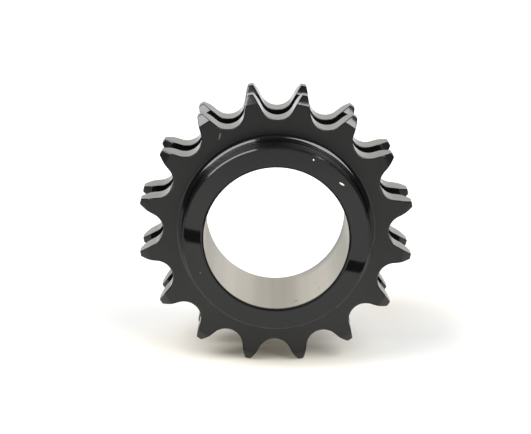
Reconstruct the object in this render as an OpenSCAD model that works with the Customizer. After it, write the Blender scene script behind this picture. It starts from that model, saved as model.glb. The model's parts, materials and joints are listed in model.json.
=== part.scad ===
// Duplex roller chain sprocket: two rows of teeth turned and cut from one piece of steel,
// with a boss on one side and a plain finished bore.
// The axis of the bore runs along Y and the boss points to -Y. The origin lies on that axis,
// in the middle plane between the two rows, and the sprocket stands on its teeth.

/* [Chain] */
// Pitch of the chain, from one roller to the next
pitch = 12.7; // [12:0.1:15]
// Diameter of the chain's rollers
roller_d = 8.51; // [7.6:0.01:8.9]
// Distance between the middles of the two rows of teeth
row_pitch = 13.92; // [12:0.01:18]

/* [Teeth] */
// Number of teeth in each row
teeth = 16; // [16:1:30]
// Thickness of one row of teeth
tooth_w = 7.2; // [5.5:0.1:8]
// Height of the tooth tips above the pitch circle
tip_rise = 2.25; // [1.4:0.05:3]
// How much the seat's radius exceeds the roller's
seat_clear = 0.1; // [0.04:0.005:0.25]
// Angle that the roller's seat spans
seat_angle = 127; // [115:1:134]
// Radius of the bulging tooth flank above the seat
flank_r = 21; // [18:0.5:32]
// Depth of the bevel on the sides of the tooth tips, towards the axis
bevel_h = 2.2; // [0.5:0.1:3]
// Width of that bevel, along the axis
bevel_w = 1.8; // [0.5:0.1:2.4]

/* [Body] */
// Diameter of the bore
bore_d = 36; // [16:0.5:40]
// Diameter of the boss
boss_d = 46.5; // [42:0.5:50]
// How far the boss stands out from the front row of teeth
boss_h = 8.4; // [4:0.1:25]
// How far the floor of the groove lies below the roots of the teeth
groove_drop = 3.8; // [3:0.1:5]

/* [Edges] */
// Radius of the fillet where the boss meets the front row
boss_fillet = 1.6; // [0.4:0.1:2]
// Radius of the fillets in the two corners of the groove
groove_fillet = 0.8; // [0.3:0.1:2]
// Chamfer on the front edge of the boss
boss_chamfer = 0.4; // [0.1:0.1:1]
// Chamfer on the front edge of the bore
bore_chamfer = 0.35; // [0.1:0.05:0.9]
// Chamfer on the back edge of the bore
back_chamfer = 0.5; // [0.1:0.05:0.9]

/* [Hidden] */
$fn = 96;

// Circles of the tooth form
pitch_r = pitch / (2 * sin(180 / teeth));
root_r = pitch_r - roller_d / 2;
tip_r = pitch_r + tip_rise;
seat_r = roller_d / 2 + seat_clear;
seat_y = root_r + seat_r;

// Centre of a flank's arc, which meets the seat's arc with no corner between them. The two arcs lap
// by a hair, so that no sliver is left between them where they touch.
lap = 0.0003;
flank_x = (seat_r + flank_r - lap) * sin(seat_angle / 2);
flank_y = seat_y - (seat_r + flank_r - lap) * cos(seat_angle / 2);
flank_reach = norm([flank_x, flank_y]);
flank_turn = atan2(flank_x, flank_y);

// Levels along the axis, from the middle plane between the rows
rows_half = (row_pitch + tooth_w) / 2;
groove_half = (row_pitch - tooth_w) / 2;
groove_r = root_r - groove_drop;
boss_r = boss_d / 2;
bore_r = bore_d / 2;

// How far a cutter runs past what it cuts
past = 1;

// Half of the angle between two teeth, seen from the axis, at radius r on the flanks
function half_gap(r) = flank_turn
    - acos((pow(r, 2) + pow(flank_reach, 2) - pow(flank_r, 2)) / (2 * r * flank_reach));

// Point at radius r, turned by a from the middle of the space between two teeth
function turned(r, a) = [r * sin(a), r * cos(a)];

// Space between two teeth: the roller's seat, widening between two bulging flanks. The wedge that the
// flanks are taken from starts at the seat's centre and passes through the points where the arcs touch.
module tooth_space() {
    mouth_r = tip_r + past;
    mouth = turned(mouth_r, half_gap(mouth_r));
    foot = [(seat_r + past) * sin(seat_angle / 2), seat_y - (seat_r + past) * cos(seat_angle / 2)];
    translate([0, seat_y]) circle(seat_r);
    difference() {
        polygon([[0, seat_y], foot, mouth, [0, 2 * mouth_r - mouth.y],
                 [-mouth.x, mouth.y], [-foot.x, foot.y]]);
        for (side = [-1, 1]) translate([side * flank_x, flank_y]) circle(flank_r);
    }
}

// Section of one row of teeth before they are cut, radius across and axis upwards
module row_section() {
    edge = tooth_w / 2;
    polygon([[bore_r, -edge], [tip_r - bevel_h, -edge], [tip_r, bevel_w - edge],
             [tip_r, edge - bevel_w], [tip_r - bevel_h, edge], [bore_r, edge]]);
}

// Section of a fillet of radius r in the corner at the origin, between +X and +Y
module fillet_section(r) {
    difference() {
        square(r);
        translate([r, r]) circle(r);
    }
}

// Section of the ring of metal that a chamfer of size c takes from a corner at the origin
module chamfer_section(c) {
    polygon([[0, -c], [-c, 0], [-c, past], [past, past], [past, -c]]);
}

// Section of the whole blank as it comes off the lathe
module blank_section() {
    difference() {
        union() {
            for (side = [-1, 1]) translate([0, side * row_pitch / 2]) row_section();
            translate([bore_r, -rows_half]) square([groove_r - bore_r, 2 * rows_half]);
            translate([bore_r, groove_half]) square([boss_r - bore_r, tooth_w + boss_h]);
            translate([boss_r, rows_half]) fillet_section(boss_fillet);
            for (side = [0, 1]) mirror([0, side])
                translate([groove_r, -groove_half]) fillet_section(groove_fillet);
        }
        translate([boss_r, rows_half + boss_h]) chamfer_section(boss_chamfer);
        translate([bore_r, rows_half + boss_h]) mirror([1, 0]) chamfer_section(bore_chamfer);
        translate([bore_r, -rows_half]) mirror([1, 0]) mirror([0, 1]) chamfer_section(back_chamfer);
    }
}

// The turned blank with both rows of teeth cut in one pass of the cutter
module sprocket() {
    color([0.25, 0.25, 0.25])
    rotate([90, 0, 0])
    difference() {
        rotate_extrude() blank_section();
        for (i = [0 : teeth - 1]) rotate(i * 360 / teeth)
            translate([0, 0, -rows_half - past])
            linear_extrude(2 * (rows_half + past)) tooth_space();
    }
}

sprocket();
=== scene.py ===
import json
import bpy
import numpy as np
from mathutils import Matrix, Vector


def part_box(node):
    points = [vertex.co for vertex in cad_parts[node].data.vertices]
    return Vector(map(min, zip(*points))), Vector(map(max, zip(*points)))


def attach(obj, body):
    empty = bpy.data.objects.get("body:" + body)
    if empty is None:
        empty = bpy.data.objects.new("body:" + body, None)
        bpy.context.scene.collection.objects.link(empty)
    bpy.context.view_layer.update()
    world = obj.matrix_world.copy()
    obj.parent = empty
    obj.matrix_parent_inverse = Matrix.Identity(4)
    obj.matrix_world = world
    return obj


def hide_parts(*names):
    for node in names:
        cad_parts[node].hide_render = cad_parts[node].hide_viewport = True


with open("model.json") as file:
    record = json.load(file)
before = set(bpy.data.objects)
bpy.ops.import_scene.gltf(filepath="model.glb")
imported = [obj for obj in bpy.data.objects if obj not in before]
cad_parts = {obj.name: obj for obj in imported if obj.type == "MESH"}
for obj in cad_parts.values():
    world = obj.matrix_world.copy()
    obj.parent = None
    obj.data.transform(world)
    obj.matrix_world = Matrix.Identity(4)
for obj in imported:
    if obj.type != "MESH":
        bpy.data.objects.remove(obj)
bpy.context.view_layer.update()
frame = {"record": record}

# Sprocket
# A double-row chain sprocket turned from one bar of steel, with both rows of teeth cut in one pass.
# Steel, blackened all over, after which the bore was machined to size and left bright.

# Driving sizes in millimetres, taken from the frame wherever it holds them. MM is a millimetre in metres.
MM = 0.001
mounts = {m["name"]: m["dims"] for m in frame["record"]["mounts"]}
lowest, highest = (np.array(corner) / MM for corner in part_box("sprocket"))
teeth = mounts["chain_rows"]["count"]
pitch_r = mounts["chain_rows"]["pcd_mm"] / 2
roller_r = 8.51 / 2
tip_rise = 2.25
tooth_w = 7.2
seat_clear = 0.1
seat_half_angle = np.radians(63.5)
flank_r = 21.0
bevel_h, bevel_w = 2.2, 1.8
groove_drop = 3.8
bore_r = mounts["bore"]["r_mm"]
boss_r = 23.25
boss_fillet, groove_fillet = 1.6, 0.8
boss_chamfer, bore_chamfer, back_chamfer = 0.4, 0.35, 0.5

# Circles and levels along the axis that follow from them
boss_front = lowest[1]
rows_half = highest[1]
groove_half = rows_half - tooth_w
tip_r = pitch_r + tip_rise
root_r = pitch_r - roller_r
seat_r = roller_r + seat_clear
bevel_r = tip_r - bevel_h
groove_r = root_r - groove_drop

# Width of the small rounding that deburring leaves along the teeth, and of that at the tips' corners
tooth_break = 0.18
tip_break = 0.2


def tooth_outline():
    """Points (x, z) once round the teeth, clockwise as the camera sees them, from next to a tip's middle.

    Half a tooth space is three arcs: the roller's seat about a centre above the root, from its lowest
    point to where the flank starts; the flank about the centre that makes it run on from the seat with no
    corner; and the tip land about the axis. A parabola rounds the corner between flank and land. The half
    is mirrored about the middle of the space, and the space is turned about the axis once for each tooth."""
    seat_y = root_r + seat_r
    flank_x = (seat_r + flank_r) * np.sin(seat_half_angle)
    flank_y = seat_y - (seat_r + flank_r) * np.cos(seat_half_angle)
    reach = np.hypot(flank_x, flank_y)
    tip_turn = np.arctan2(flank_x, flank_y)
    tip_turn -= np.arccos((tip_r**2 + reach**2 - flank_r**2) / (2 * tip_r * reach))
    corner = tip_r * np.array([np.sin(tip_turn), np.cos(tip_turn)])
    flank_end = np.arctan2(flank_x - corner[0], corner[1] - flank_y) + tip_break / flank_r

    a = np.linspace(0, seat_half_angle, 10)[1:]
    seat = np.stack([seat_r * np.sin(a), seat_y - seat_r * np.cos(a)], 1)
    b = np.linspace(seat_half_angle, flank_end, 11)[1:]
    flank = np.stack([flank_x - flank_r * np.sin(b), flank_y + flank_r * np.cos(b)], 1)
    c = np.linspace(tip_turn + tip_break / tip_r, np.pi / teeth, 3)
    land = tip_r * np.stack([np.sin(c), np.cos(c)], 1)
    t = np.linspace(0, 1, 6)[1:-1, None]
    rounding = (1 - t)**2 * flank[-1] + 2 * t * (1 - t) * corner + t**2 * land[0]

    half = np.concatenate([seat, flank, rounding, land])
    space = np.concatenate([half[-2::-1] * (-1, 1), [[0, root_r]], half])
    turn = 2 * np.pi / teeth * np.arange(teeth)[:, None]
    x, z = space[:, 0], space[:, 1]
    around = np.stack([x * np.cos(turn) + z * np.sin(turn), z * np.cos(turn) - x * np.sin(turn)], 2)
    return around.reshape(-1, 2)


# At each point of the outline: the ray to it from the axis, and the way out of the metal
outline = tooth_outline()
ray = outline / np.linalg.norm(outline, axis=1)[:, None]
along = np.roll(outline, -1, 0) - np.roll(outline, 1, 0)
outward = np.stack([-along[:, 1], along[:, 0]], 1) / np.linalg.norm(along, axis=1)[:, None]


def turned_ring(radius, y):
    """One line of the surface on a turned part: radius times the ray of each outline point, at y."""
    return np.insert(ray * radius, 1, y, axis=1)


# Lines on the side of a row: how far across the flat they lie, how far apart those at the bevel's crease
# are, freely and where the tooth edge squeezes them, and how far the flat stays inside that edge
flat_shares = (0, 0.3, 0.6, 0.85, 1)
crease_step, squeezed_step = 0.05, 0.03
edge_gap = 0.12

# The bevel's fall as shares that go with the way up it, its square and its cube: a slight crown
bevel_fall = (0.62, 0.6, -0.22)


def row_side(inner_r, face_y, into):
    """Lines from a row's inner circle out to its tooth edge, on a face at y that has its metal towards into.

    Lines on the flat are circles, pressed inwards where a tooth space is nearer the axis. Past the
    bevel's circle the face falls away by bevel_w (0.62 s + 0.6 s^2 - 0.22 s^3), where s goes from 0 to 1
    up the bevel. The last lines roll over the edge: their distance inside the outline is
    tooth_break (1 - sin t), and their depth is tooth_break (1 - cos t)."""
    edge = outline - outward * tooth_break
    edge_r = np.linalg.norm(edge, axis=1)
    flat_width = np.minimum(bevel_r, edge_r - edge_gap) - inner_r
    flat = [inner_r + flat_width * share for share in flat_shares]
    crease = [np.minimum(bevel_r + crease_step * k, edge_r - edge_gap + squeezed_step * k) for k in (1, 2)]
    start = ray * crease[-1][:, None]
    plane = [ray * np.reshape(r, (-1, 1)) for r in flat + crease]
    plane += [start + (edge - start) * share for share in (0.25, 0.5, 0.75)]
    depth = [0] * len(plane)
    for t in np.radians([0, 30, 60, 90]):
        plane.append(outline - outward * tooth_break * (1 - np.sin(t)))
        depth.append(tooth_break * (1 - np.cos(t)))
    lines = []
    for points, rolled in zip(plane, depth):
        s = np.maximum(np.linalg.norm(points, axis=1) - bevel_r, 0) / bevel_h
        fallen = bevel_w * (bevel_fall[0] * s + bevel_fall[1] * s**2 + bevel_fall[2] * s**3)
        lines.append(np.insert(points, 1, face_y + into * (fallen + rolled), axis=1))
    return lines


def rolled_corner(centre_r, centre_y, radius, start, stop, steps=7):
    """Lines of a fillet: an arc about a centre in the section, from one angle to another, carried round."""
    t = np.radians(np.linspace(start, stop, steps))
    return [turned_ring(centre_r + radius * np.cos(k), centre_y + radius * np.sin(k)) for k in t]


def straight(first, last, shares=(0.33, 0.67)):
    """Lines between two others, each at its share of the straight way from first to last."""
    return [first + (last - first) * share for share in shares]


# The section's lines in order round the ring of metal, from the front end of the bore: boss, front row,
# groove, rear row, back and bore
section, surfaces = [], []


def carry(lines, surface):
    """Adds lines to the section, and names the surface that reaches from the last one before to the last."""
    surfaces.extend([surface] * len(lines))
    section.extend(lines)


def carry_straight(last, shares, surface):
    """Adds the line last, and before it lines at those shares of the straight way from the section's end."""
    carry([*straight(section[-1], last, shares), last], surface)


def carry_row(front_inner_r, front_y, front_surface, back_inner_r, back_y, back_surface):
    """Adds one row: out along its front side, across the teeth as straight lines, and in along its back."""
    front = row_side(front_inner_r, front_y, 1)
    back = row_side(back_inner_r, back_y, -1)[::-1]
    flat = len(flat_shares)
    carry(front[1:flat], front_surface)
    carry(front[flat:-1], "bevel")
    carry([front[-1], *straight(front[-1], back[0]), *back[:2]], "tooth")
    carry(back[2:1 - flat], "bevel")
    carry(back[1 - flat:], back_surface)


carry([turned_ring(bore_r, boss_front + bore_chamfer)], "bore")
carry_straight(turned_ring(bore_r + bore_chamfer, boss_front), (0.35, 0.65), "groove")
carry_straight(turned_ring(boss_r - boss_chamfer, boss_front), (0.1, 0.5, 0.9), "boss_face")
carry_straight(turned_ring(boss_r, boss_front + boss_chamfer), (0.03, 0.78), "edge")
foot_r = boss_r + boss_fillet
foot = rolled_corner(foot_r, -rows_half - boss_fillet, boss_fillet, 180, 90, 10)
carry_straight(foot[0], (0.1, 0.5, 0.9), "boss_side")
carry(foot[1:], "fillet")

floor_r = groove_r + groove_fillet
carry_row(foot_r, -rows_half, "plate", floor_r, -groove_half, "groove")
carry(rolled_corner(floor_r, groove_fillet - groove_half, groove_fillet, 270, 180)[1:], "groove")
carry(rolled_corner(floor_r, groove_half - groove_fillet, groove_fillet, 180, 90), "groove")
carry_row(floor_r, groove_half, "groove", bore_r + back_chamfer, rows_half, "plate")
carry([turned_ring(bore_r, rows_half - back_chamfer)], "edge")
carry(straight(section[-1], section[0], (0.02, 0.25, 0.5, 0.75, 0.98)), "bore")

# The closed surface: four-sided faces between each line and the next, and each step round it and the next
finishes = ["plate", "boss_face", "boss_side", "fillet", "bevel", "tooth", "groove", "edge", "bore"]
points = np.stack(section) * MM
lines, steps = points.shape[:2]
line, step = np.meshgrid(np.arange(lines), np.arange(steps), indexing="ij")
next_line, next_step = (line + 1) % lines, (step + 1) % steps
corners = [(line, step), (next_line, step), (next_line, next_step), (line, next_step)]
quads = np.stack([a * steps + b for a, b in corners], 2).reshape(-1, 4)
finish_of_line = np.array([finishes.index(name) for name in surfaces[1:] + surfaces[:1]])

# A normal at each point is the sum of its quads' normals, each as long as twice the quad's area
diagonals = points.reshape(-1, 3)[quads[:, 2:]] - points.reshape(-1, 3)[quads[:, :2]]
quad_normals = np.cross(diagonals[:, 0], diagonals[:, 1])
normals = np.zeros((lines * steps, 3))
for corner in quads.T:
    normals += np.stack([np.bincount(corner, quad_normals[:, k], lines * steps) for k in range(3)], 1)
normals /= np.linalg.norm(normals, axis=1)[:, None]

mesh = bpy.data.meshes.new("sprocket_steel")
mesh.from_pydata(points.reshape(-1, 3), [], quads)
mesh.polygons.foreach_set("material_index", np.repeat(finish_of_line, steps).astype(np.int32))
mesh.polygons.foreach_set("use_smooth", np.ones(len(quads), bool))
mesh.normals_split_custom_set_from_vertices(normals)
sprocket = bpy.data.objects.new("sprocket_steel", mesh)
bpy.context.scene.collection.objects.link(sprocket)


def add(tree, kind, inputs=None, **settings):
    """A node of that kind, with its settings, and its inputs as values or as other nodes' sockets."""
    node = tree.nodes.new("ShaderNode" + kind)
    for name, value in settings.items():
        setattr(node, name, value)
    for name, value in (inputs or {}).items():
        if isinstance(value, bpy.types.NodeSocket):
            tree.links.new(value, node.inputs[name])
        else:
            node.inputs[name].default_value = value
    return node


def calculate(tree, operation, *values):
    """The result of one sum on values or sockets."""
    return add(tree, "Math", dict(enumerate(values)), operation=operation).outputs[0]


def place_on(tree):
    """The place of the point being coloured, in metres from the object's own origin."""
    return add(tree, "TexCoord").outputs["Object"]


def parts_of(tree, vector):
    """The three parts of a vector: x, y and z."""
    return add(tree, "SeparateXYZ", {0: vector}).outputs


def turned_coordinates(tree, along_turn):
    """The place wound onto the lathe: radius, way along the axis, and turn times along_turn.

    Noise on it makes rings round the axis, which change slowly on the way round."""
    place = parts_of(tree, place_on(tree))
    squares = [calculate(tree, "POWER", place[k], 2) for k in (0, 2)]
    radius = calculate(tree, "SQRT", calculate(tree, "ADD", *squares))
    turn = calculate(tree, "ARCTAN2", place[0], place[2])
    wound = {0: radius, 1: place[1], 2: calculate(tree, "MULTIPLY", turn, along_turn)}
    return add(tree, "CombineXYZ", wound).outputs[0]


def noise(tree, vector, scale, detail):
    """Smooth noise about 0.5: scale waves to the metre, and detail finer layers on them."""
    return add(tree, "TexNoise", {"Vector": vector, "Scale": scale, "Detail": detail}).outputs["Fac"]


def turning_marks(tree, scale, along_turn, detail=3):
    """The tool's rings round the axis: noise on the wound place."""
    return noise(tree, turned_coordinates(tree, along_turn), scale, detail)


def mottle(tree, scale):
    """The oxide's uneven growth: noise on the place, with four finer layers."""
    return noise(tree, place_on(tree), scale, 4)


def between(tree, value, low, high, start=0.0, stop=1.0):
    """Low to high as value goes from start to stop, and no further."""
    inputs = {"Value": value, "From Min": start, "From Max": stop, "To Min": low, "To Max": high}
    return add(tree, "MapRange", inputs).outputs[0]


def spread(tree, pattern, low, high):
    """Low to high over the range from 0.3 to 0.7, which noise seldom leaves."""
    return between(tree, pattern, low, high, 0.3, 0.7)


def blend(tree, share, first, second):
    """The first colour to the second as share goes from 0 to 1."""
    return add(tree, "Mix", {0: share, 6: first, 7: second}, data_type="RGBA").outputs[2]


def spot(tree, centre, half_sizes, lean=0.0):
    """1 inside an oval mark, 0 outside: the length of the place in the mark's own frame, in half sizes."""
    inputs = {0: place_on(tree), "Location": Vector(centre) * MM,
              "Rotation": (0, lean, 0), "Scale": Vector(half_sizes) * MM}
    placed = add(tree, "Mapping", inputs, vector_type="TEXTURE").outputs[0]
    length = add(tree, "VectorMath", {0: placed}, operation="LENGTH").outputs["Value"]
    return between(tree, length, 1, 0, 0.7, 1.1)


def finish(name, **constants):
    """A new material, its nodes and its shader, with what is the same all over set on the shader itself."""
    material = bpy.data.materials.new(name)
    material.use_nodes = True
    tree = material.node_tree
    shader = tree.nodes["Principled BSDF"]
    for socket, value in constants.items():
        shader.inputs[socket.replace("_", " ")].default_value = value
    return material, tree, shader


# Depth of a finish's marks is given in thousandths of a millimetre
MICRON = 0.000001


def set_surface(tree, shader, colour, roughness, marks, depth):
    """Links colour and roughness to the shader, and bends its normal by marks of that depth."""
    tree.links.new(colour, shader.inputs["Base Color"])
    tree.links.new(roughness, shader.inputs["Roughness"])
    bump = add(tree, "Bump", {"Height": marks, "Distance": depth * MICRON, "Strength": 1.0})
    tree.links.new(bump.outputs[0], shader.inputs["Normal"])


# Faces of the rows: black oxide on fine turning marks, satin, with one pale smear
plate, tree, shader = finish("plate_black_oxide", IOR=1.51)
rings = turning_marks(tree, 5200, 0.0006)
colour = blend(tree, mottle(tree, 160), (0.003, 0.003, 0.0032, 1), (0.006, 0.006, 0.006, 1))
smear = spot(tree, (-14.25, -rows_half, 24.0), (0.22, 1, 1.0), 0.19)
colour = blend(tree, calculate(tree, "MULTIPLY", smear, 0.9), colour, (0.12, 0.12, 0.11, 1))
set_surface(tree, shader, colour, spread(tree, rings, 0.30, 0.38), rings, 1.2)

# Flat end of the boss: the same oxide on a finely faced surface, nearly a mirror, with two chips down to
# bare steel and a faint speck
boss_face, tree, shader = finish("boss_face_black_oxide", IOR=1.42)
rings = turning_marks(tree, 5200, 0.0006)
colour = blend(tree, mottle(tree, 160), (0.0035, 0.0037, 0.0042, 1), (0.0055, 0.0057, 0.006, 1))
large_chip = spot(tree, (15.86, boss_front, 14.12), (0.75, 1, 0.22), 0.54)
small_chip = spot(tree, (8.84, boss_front, 20.08), (0.19, 1, 0.26))
faint_speck = calculate(tree, "MULTIPLY", spot(tree, (-18.71, boss_front, -8.76), (0.2, 1, 0.2)), 0.1)
chips = calculate(tree, "MAXIMUM", calculate(tree, "MAXIMUM", large_chip, small_chip), faint_speck)
colour = blend(tree, chips, colour, (0.9, 0.88, 0.84, 1))
set_surface(tree, shader, colour, spread(tree, rings, 0.024, 0.042), rings, 0.1)

# Side of the boss: coarse feed marks under the oxide, which spread each highlight along the axis. One of
# them, near the front, is rougher than the rest.
boss_side, tree, shader = finish("boss_side_black_oxide", IOR=1.54, Specular_Tint=(0.9, 0.98, 1, 1),
                                 Anisotropic=1.0, Anisotropic_Rotation=0.25)
rings = turning_marks(tree, 1100, 0.0004, 1)
colour = blend(tree, rings, (0.0004, 0.0005, 0.0008, 1), (0.0015, 0.002, 0.0028, 1))
rough_mark_y = -16.6
from_mark = calculate(tree, "SUBTRACT", parts_of(tree, place_on(tree))[1], rough_mark_y * MM)
rough_mark = between(tree, calculate(tree, "ABSOLUTE", from_mark), 0.08, 0, 0.0004, 0.0009)
rough = calculate(tree, "ADD", between(tree, rings, 0.21, 0.37, 0.44, 0.56), rough_mark)
set_surface(tree, shader, colour, rough, rings, 300)
round_the_axis = add(tree, "Tangent", direction_type="RADIAL", axis="Y").outputs[0]
tree.links.new(round_the_axis, shader.inputs["Tangent"])

# Fillet at the boss's foot: left smooth by the tool's round nose
fillet, tree, shader = finish("fillet_black_oxide", IOR=1.61)
rings = turning_marks(tree, 2600, 0.0004)
colour = blend(tree, rings, (0.0015, 0.0015, 0.0018, 1), (0.003, 0.003, 0.0033, 1))
set_surface(tree, shader, colour, spread(tree, rings, 0.09, 0.13), rings, 0.8)

# Bevels beside the tips: turned before the teeth were cut, and smoother than the tooth spaces
bevel, tree, shader = finish("bevel_black_oxide", IOR=1.68)
rings = turning_marks(tree, 2600, 0.0004)
cloud = mottle(tree, 500)
colour = blend(tree, cloud, (0.004, 0.004, 0.004, 1), (0.009, 0.009, 0.0085, 1))
set_surface(tree, shader, colour, spread(tree, cloud, 0.12, 0.17), rings, 2)

# Tooth spaces and tips: a thinner and brighter oxide, slightly warm, over the cutter's marks, which are
# drawn out along the axis
tooth, tree, shader = finish("tooth_black_oxide", IOR=2.4, Specular_Tint=(1, 0.995, 0.88, 1))
drawn_out = add(tree, "Mapping", {0: place_on(tree), "Scale": (1, 0.15, 1)}).outputs[0]
cutter_marks = noise(tree, drawn_out, 2600, 3)
cloud = mottle(tree, 300)
colour = blend(tree, cloud, (0.008, 0.008, 0.008, 1), (0.014, 0.0138, 0.0132, 1))
set_surface(tree, shader, colour, spread(tree, cloud, 0.16, 0.22), cutter_marks, 0.8)

# Groove between the rows, and the narrow chamfer at the front of the bore: dull black
groove, tree, shader = finish("groove_black_oxide", IOR=1.2)
rings = turning_marks(tree, 3000, 0.0004)
colour = blend(tree, rings, (0.0028, 0.0024, 0.0028, 1), (0.0045, 0.004, 0.0045, 1))
set_surface(tree, shader, colour, spread(tree, rings, 0.38, 0.5), rings, 3)

# Chamfers of the boss and of the back: black, with the oxide rubbed thin in places
edge, tree, shader = finish("edge_black_oxide", IOR=1.53)
cloud = mottle(tree, 420)
colour = blend(tree, cloud, (0.004, 0.004, 0.004, 1), (0.012, 0.0115, 0.010, 1))
set_surface(tree, shader, colour, spread(tree, cloud, 0.11, 0.15), cloud, 0.3)

# Bore: bare machined steel with fine rings and faint streaks along the axis, smoothest at the bottom.
# Above the bottom the walls are painted a flat darker colour, painted shade, so that it is brightest at the
# bottom. A grey band along its far edge, mostly on the right, is painted shade too. Three specks of rust lie
# low in it.
bore, tree, shader = finish("bore_bare_steel", Metallic=1.0)
rings = turning_marks(tree, 5200, 0.0006)
drawn_out = add(tree, "Mapping", {0: turned_coordinates(tree, 0.02), "Scale": (1, 0.04, 1)}).outputs[0]
streaks = noise(tree, drawn_out, 260, 1)
colour = blend(tree, streaks, (0.41, 0.37, 0.295, 1), (0.62, 0.565, 0.46, 1))
across, depth, height = parts_of(tree, place_on(tree))
# Painted shade: above the bottom the walls take one flat darker colour, so the bottom stays brightest
colour = blend(tree, between(tree, height, 0, 1, -0.014, -0.006), colour, (0.41, 0.385, 0.32, 1))
# Painted shade: a grey band along the bore's far edge, mostly on the right
far_right = calculate(tree, "MULTIPLY", between(tree, across, 0, 1, 0.004, 0.013),
                      between(tree, depth, 0, 1, 0.004, 0.0085))
painted_far_shade = calculate(tree, "MAXIMUM", far_right, between(tree, depth, 0, 0.6, 0.0094, 0.0098))
colour = blend(tree, painted_far_shade, colour, (0.2, 0.2, 0.195, 1))
specks = [((5.21, -14.1, -17.23), (0.75, 0.5, 0.4)), ((10.98, -12.4, -14.26), (0.5, 0.35, 0.4)),
          ((16.07, -2.1, -8.12), (0.3, 0.4, 0.3))]
rust = 0
for centre, half_sizes in specks:
    rust = calculate(tree, "MAXIMUM", rust, spot(tree, centre, half_sizes))
colour = blend(tree, calculate(tree, "MULTIPLY", rust, 0.8), colour, (0.20, 0.11, 0.06, 1))
set_surface(tree, shader, colour, between(tree, height, 0.28, 0.42, -0.014, -0.004), rings, 1.5)

# The materials go on in the order of the finishes' names
for material in (plate, boss_face, boss_side, fillet, bevel, tooth, groove, edge, bore):
    mesh.materials.append(material)

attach(sprocket, "root")
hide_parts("sprocket")

# Floor and surroundings
# A matt white sheet that the sprocket stands on, wide enough to fill every view, with white air behind it.
# A dark rule towards the camera and a shaded surround lie on it, and only show as reflections in the steel.
floor_z = lowest[2] * MM


def flat_card(name, corners):
    """A level card on the floor: its corners (x, y) in metres, joined by one face."""
    card_mesh = bpy.data.meshes.new(name)
    card_mesh.from_pydata(np.insert(np.array(corners, float), 2, floor_z, axis=1), [], [range(len(corners))])
    card = bpy.data.objects.new(name, card_mesh)
    bpy.context.scene.collection.objects.link(card)
    return card


def floor_place(tree, x, y):
    """The place on the floor, in metres from the spot at x, y."""
    return add(tree, "Mapping", {0: place_on(tree), "Location": (-x, -y, -floor_z)}).outputs[0]


def far_from(tree, place):
    """The length of a place: its distance from where it is measured."""
    return add(tree, "VectorMath", {0: place}, operation="LENGTH").outputs["Value"]


def show_only_as_reflection(card):
    """Hides a card from everything but rays that a shiny surface sends out."""
    card.visible_camera = False
    card.visible_diffuse = False
    card.visible_shadow = False
    card.visible_transmission = False


# The sheet glows where it is looked at, and lights nothing: more with the distance from the sprocket, which
# paints deeper shade near it, and towards the back, and less in a painted soft shadow behind on the right.
# The glow is warm under the sprocket, a painted warm tint in its shade, and cool elsewhere.
sheet = flat_card("floor_sheet", [(-4, -4), (4, -4), (4, 4), (-4, 4)])
paper, tree, shader = finish("white_paper", Roughness=0.9, Specular_IOR_Level=0.1)
grain = noise(tree, place_on(tree), 60, 3)
paper_white = blend(tree, grain, (0.75, 0.72, 0.66, 1), (0.77, 0.735, 0.675, 1))
tree.links.new(paper_white, shader.inputs["Base Color"])
looked_at = add(tree, "LightPath").outputs
seen = calculate(tree, "MAXIMUM", looked_at["Is Camera Ray"],
                 calculate(tree, "MAXIMUM", looked_at["Is Glossy Ray"], looked_at["Is Transmission Ray"]))
on_floor = floor_place(tree, -0.004, 0)
away = far_from(tree, on_floor)
near = calculate(tree, "ADD", between(tree, away, 0.05, 0.36, 0, 0.032),
                 between(tree, away, 0, 0.15, 0.03, 0.1))
far = between(tree, parts_of(tree, on_floor)[1], 0, 0.35, 0.25, 0.7)
# A painted soft shadow on the floor, behind the sprocket on the right
from_painted_shadow = far_from(tree, floor_place(tree, 0.030, 0.041))
near = calculate(tree, "SUBTRACT", near, between(tree, from_painted_shadow, 0.33, 0, 0.003, 0.034))
glow = calculate(tree, "MAXIMUM", 0, calculate(tree, "ADD", near, far))
tree.links.new(calculate(tree, "MULTIPLY", seen, glow), shader.inputs["Emission Strength"])
# A painted warm tint in the shade under the sprocket
warmth = blend(tree, between(tree, away, 0, 1, 0, 0.04), (1, 0.88, 0.62, 1), (0.84, 0.92, 1, 1))
tree.links.new(warmth, shader.inputs["Emission Color"])
sheet.data.materials.append(paper)

# The rule slants and is wider at its left end, so that its reflection in the flat end of the boss is a
# slanting strip of one height
rule_x = 0.060
left_y, left_half = -0.1766, 0.0090
right_y, right_half = -0.0934, 0.0060
rule = flat_card("dark_rule", [(-rule_x, left_y + left_half), (-rule_x, left_y - left_half),
                               (rule_x, right_y - right_half), (rule_x, right_y + right_half)])
rule.location.z = 0.0005
black, tree, shader = finish("dark_rule", Base_Color=(0.002, 0.002, 0.002, 1), Specular_IOR_Level=0.0)
rule.data.materials.append(black)
show_only_as_reflection(rule)

# The surround, a card of painted shade that only shows in reflections: full shade far in front, part shade
# at the sides, and a weak band of it from side to side under the sprocket
shade = flat_card("shaded_surround", [(-4, 0.5), (-4, -4), (4, -4), (4, 0.5)])
shade.location.z = 0.0003
grey, tree, shader = finish("shaded_surround", Base_Color=(0.05, 0.05, 0.05, 1), Specular_IOR_Level=0.0)
across, forward = parts_of(tree, place_on(tree))[:2]
in_front = between(tree, forward, 1, 0, -0.5, -0.18)
sideways = between(tree, calculate(tree, "ABSOLUTE", across), 0, 0.66, 0.02, 0.1)
band = between(tree, calculate(tree, "ABSOLUTE", forward), 0.42, 0, 0.015, 0.05)
shaded = calculate(tree, "MAXIMUM", band, calculate(tree, "MAXIMUM", in_front, sideways))
tree.links.new(shaded, shader.inputs["Alpha"])
shade.data.materials.append(grey)
show_only_as_reflection(shade)

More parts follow.
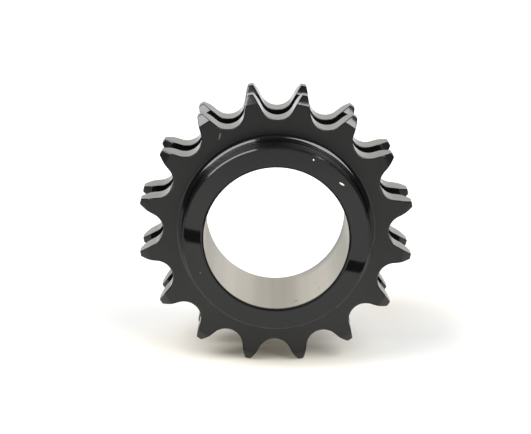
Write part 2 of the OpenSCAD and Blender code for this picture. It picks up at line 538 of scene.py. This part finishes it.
# Air: white behind the sprocket as far up as the camera sees, dim elsewhere, and a little lighter above
# the camera
world = bpy.data.worlds.new("studio_air")
bpy.context.scene.world = world
world.use_nodes = True
tree = world.node_tree
background = tree.nodes["Background"].inputs
way = parts_of(tree, add(tree, "TexCoord").outputs["Generated"])
low = between(tree, way[2], 1, 0, 0.30, 0.42)
behind = between(tree, way[1], 0, 1, 0.72, 0.92)
backdrop = between(tree, calculate(tree, "MULTIPLY", low, behind), 0.09, 1.0)
above_camera = calculate(tree, "MULTIPLY", between(tree, way[1], 0.16, 0, -0.7, -0.3),
                         between(tree, way[2], 0, 1, 0.3, 0.5))
tree.links.new(calculate(tree, "ADD", backdrop, above_camera), background["Strength"])
background["Color"].default_value = (1, 1, 1, 1)


def softbox(name, direction, across, distance, width, height, radiance):
    """A rectangular soft light in that direction from the sprocket, facing it, its width laid along across.

    Its power is its radiance times its area times pi. Sizes and distance are in metres."""
    lamp = bpy.data.lights.new(name, "AREA")
    lamp.shape = "RECTANGLE"
    lamp.size, lamp.size_y = width, height
    lamp.energy = radiance * width * height * np.pi
    light = bpy.data.objects.new(name, lamp)
    away = Vector(direction).normalized()
    across = Vector(across)
    across = (across - away * across.dot(away)).normalized()
    turn = Matrix((across, away.cross(across), away)).transposed()
    light.matrix_world = Matrix.Translation(away * distance) @ turn.to_4x4()
    light.visible_camera = False
    bpy.context.scene.collection.objects.link(light)


# Two soft lights, high in front of the sprocket and one on each side
softbox("left_softbox", direction=(-0.577, -0.327, 0.749), across=(0.82, -0.14, 0.55),
        distance=2.2, width=1.62, height=1.59, radiance=6.4)
softbox("right_softbox", direction=(0.511, -0.565, 0.648), across=(0.49, -0.43, -0.76),
        distance=2.2, width=1.41, height=1.54, radiance=6.6)

# Camera
# It stands in front of the boss and a little above it, and looks slightly to the left of the bore.
camera_place = Vector((-5.828, -472.394, 117.307)) * MM
camera_target = Vector((-2.608, 0.0, 0.941)) * MM
camera_roll = np.radians(0.676)
lens = bpy.data.cameras.new("camera")
lens.sensor_width, lens.lens = 36.0, 128.81
lens.clip_start, lens.clip_end = 0.01, 50
camera = bpy.data.objects.new("camera", lens)
looking = (camera_target - camera_place).to_track_quat("-Z", "Y").to_matrix().to_4x4()
camera.matrix_world = Matrix.Translation(camera_place) @ looking @ Matrix.Rotation(camera_roll, 4, "Z")
bpy.context.scene.collection.objects.link(camera)
bpy.context.scene.camera = camera
bpy.context.scene.view_settings.view_transform = "Standard"
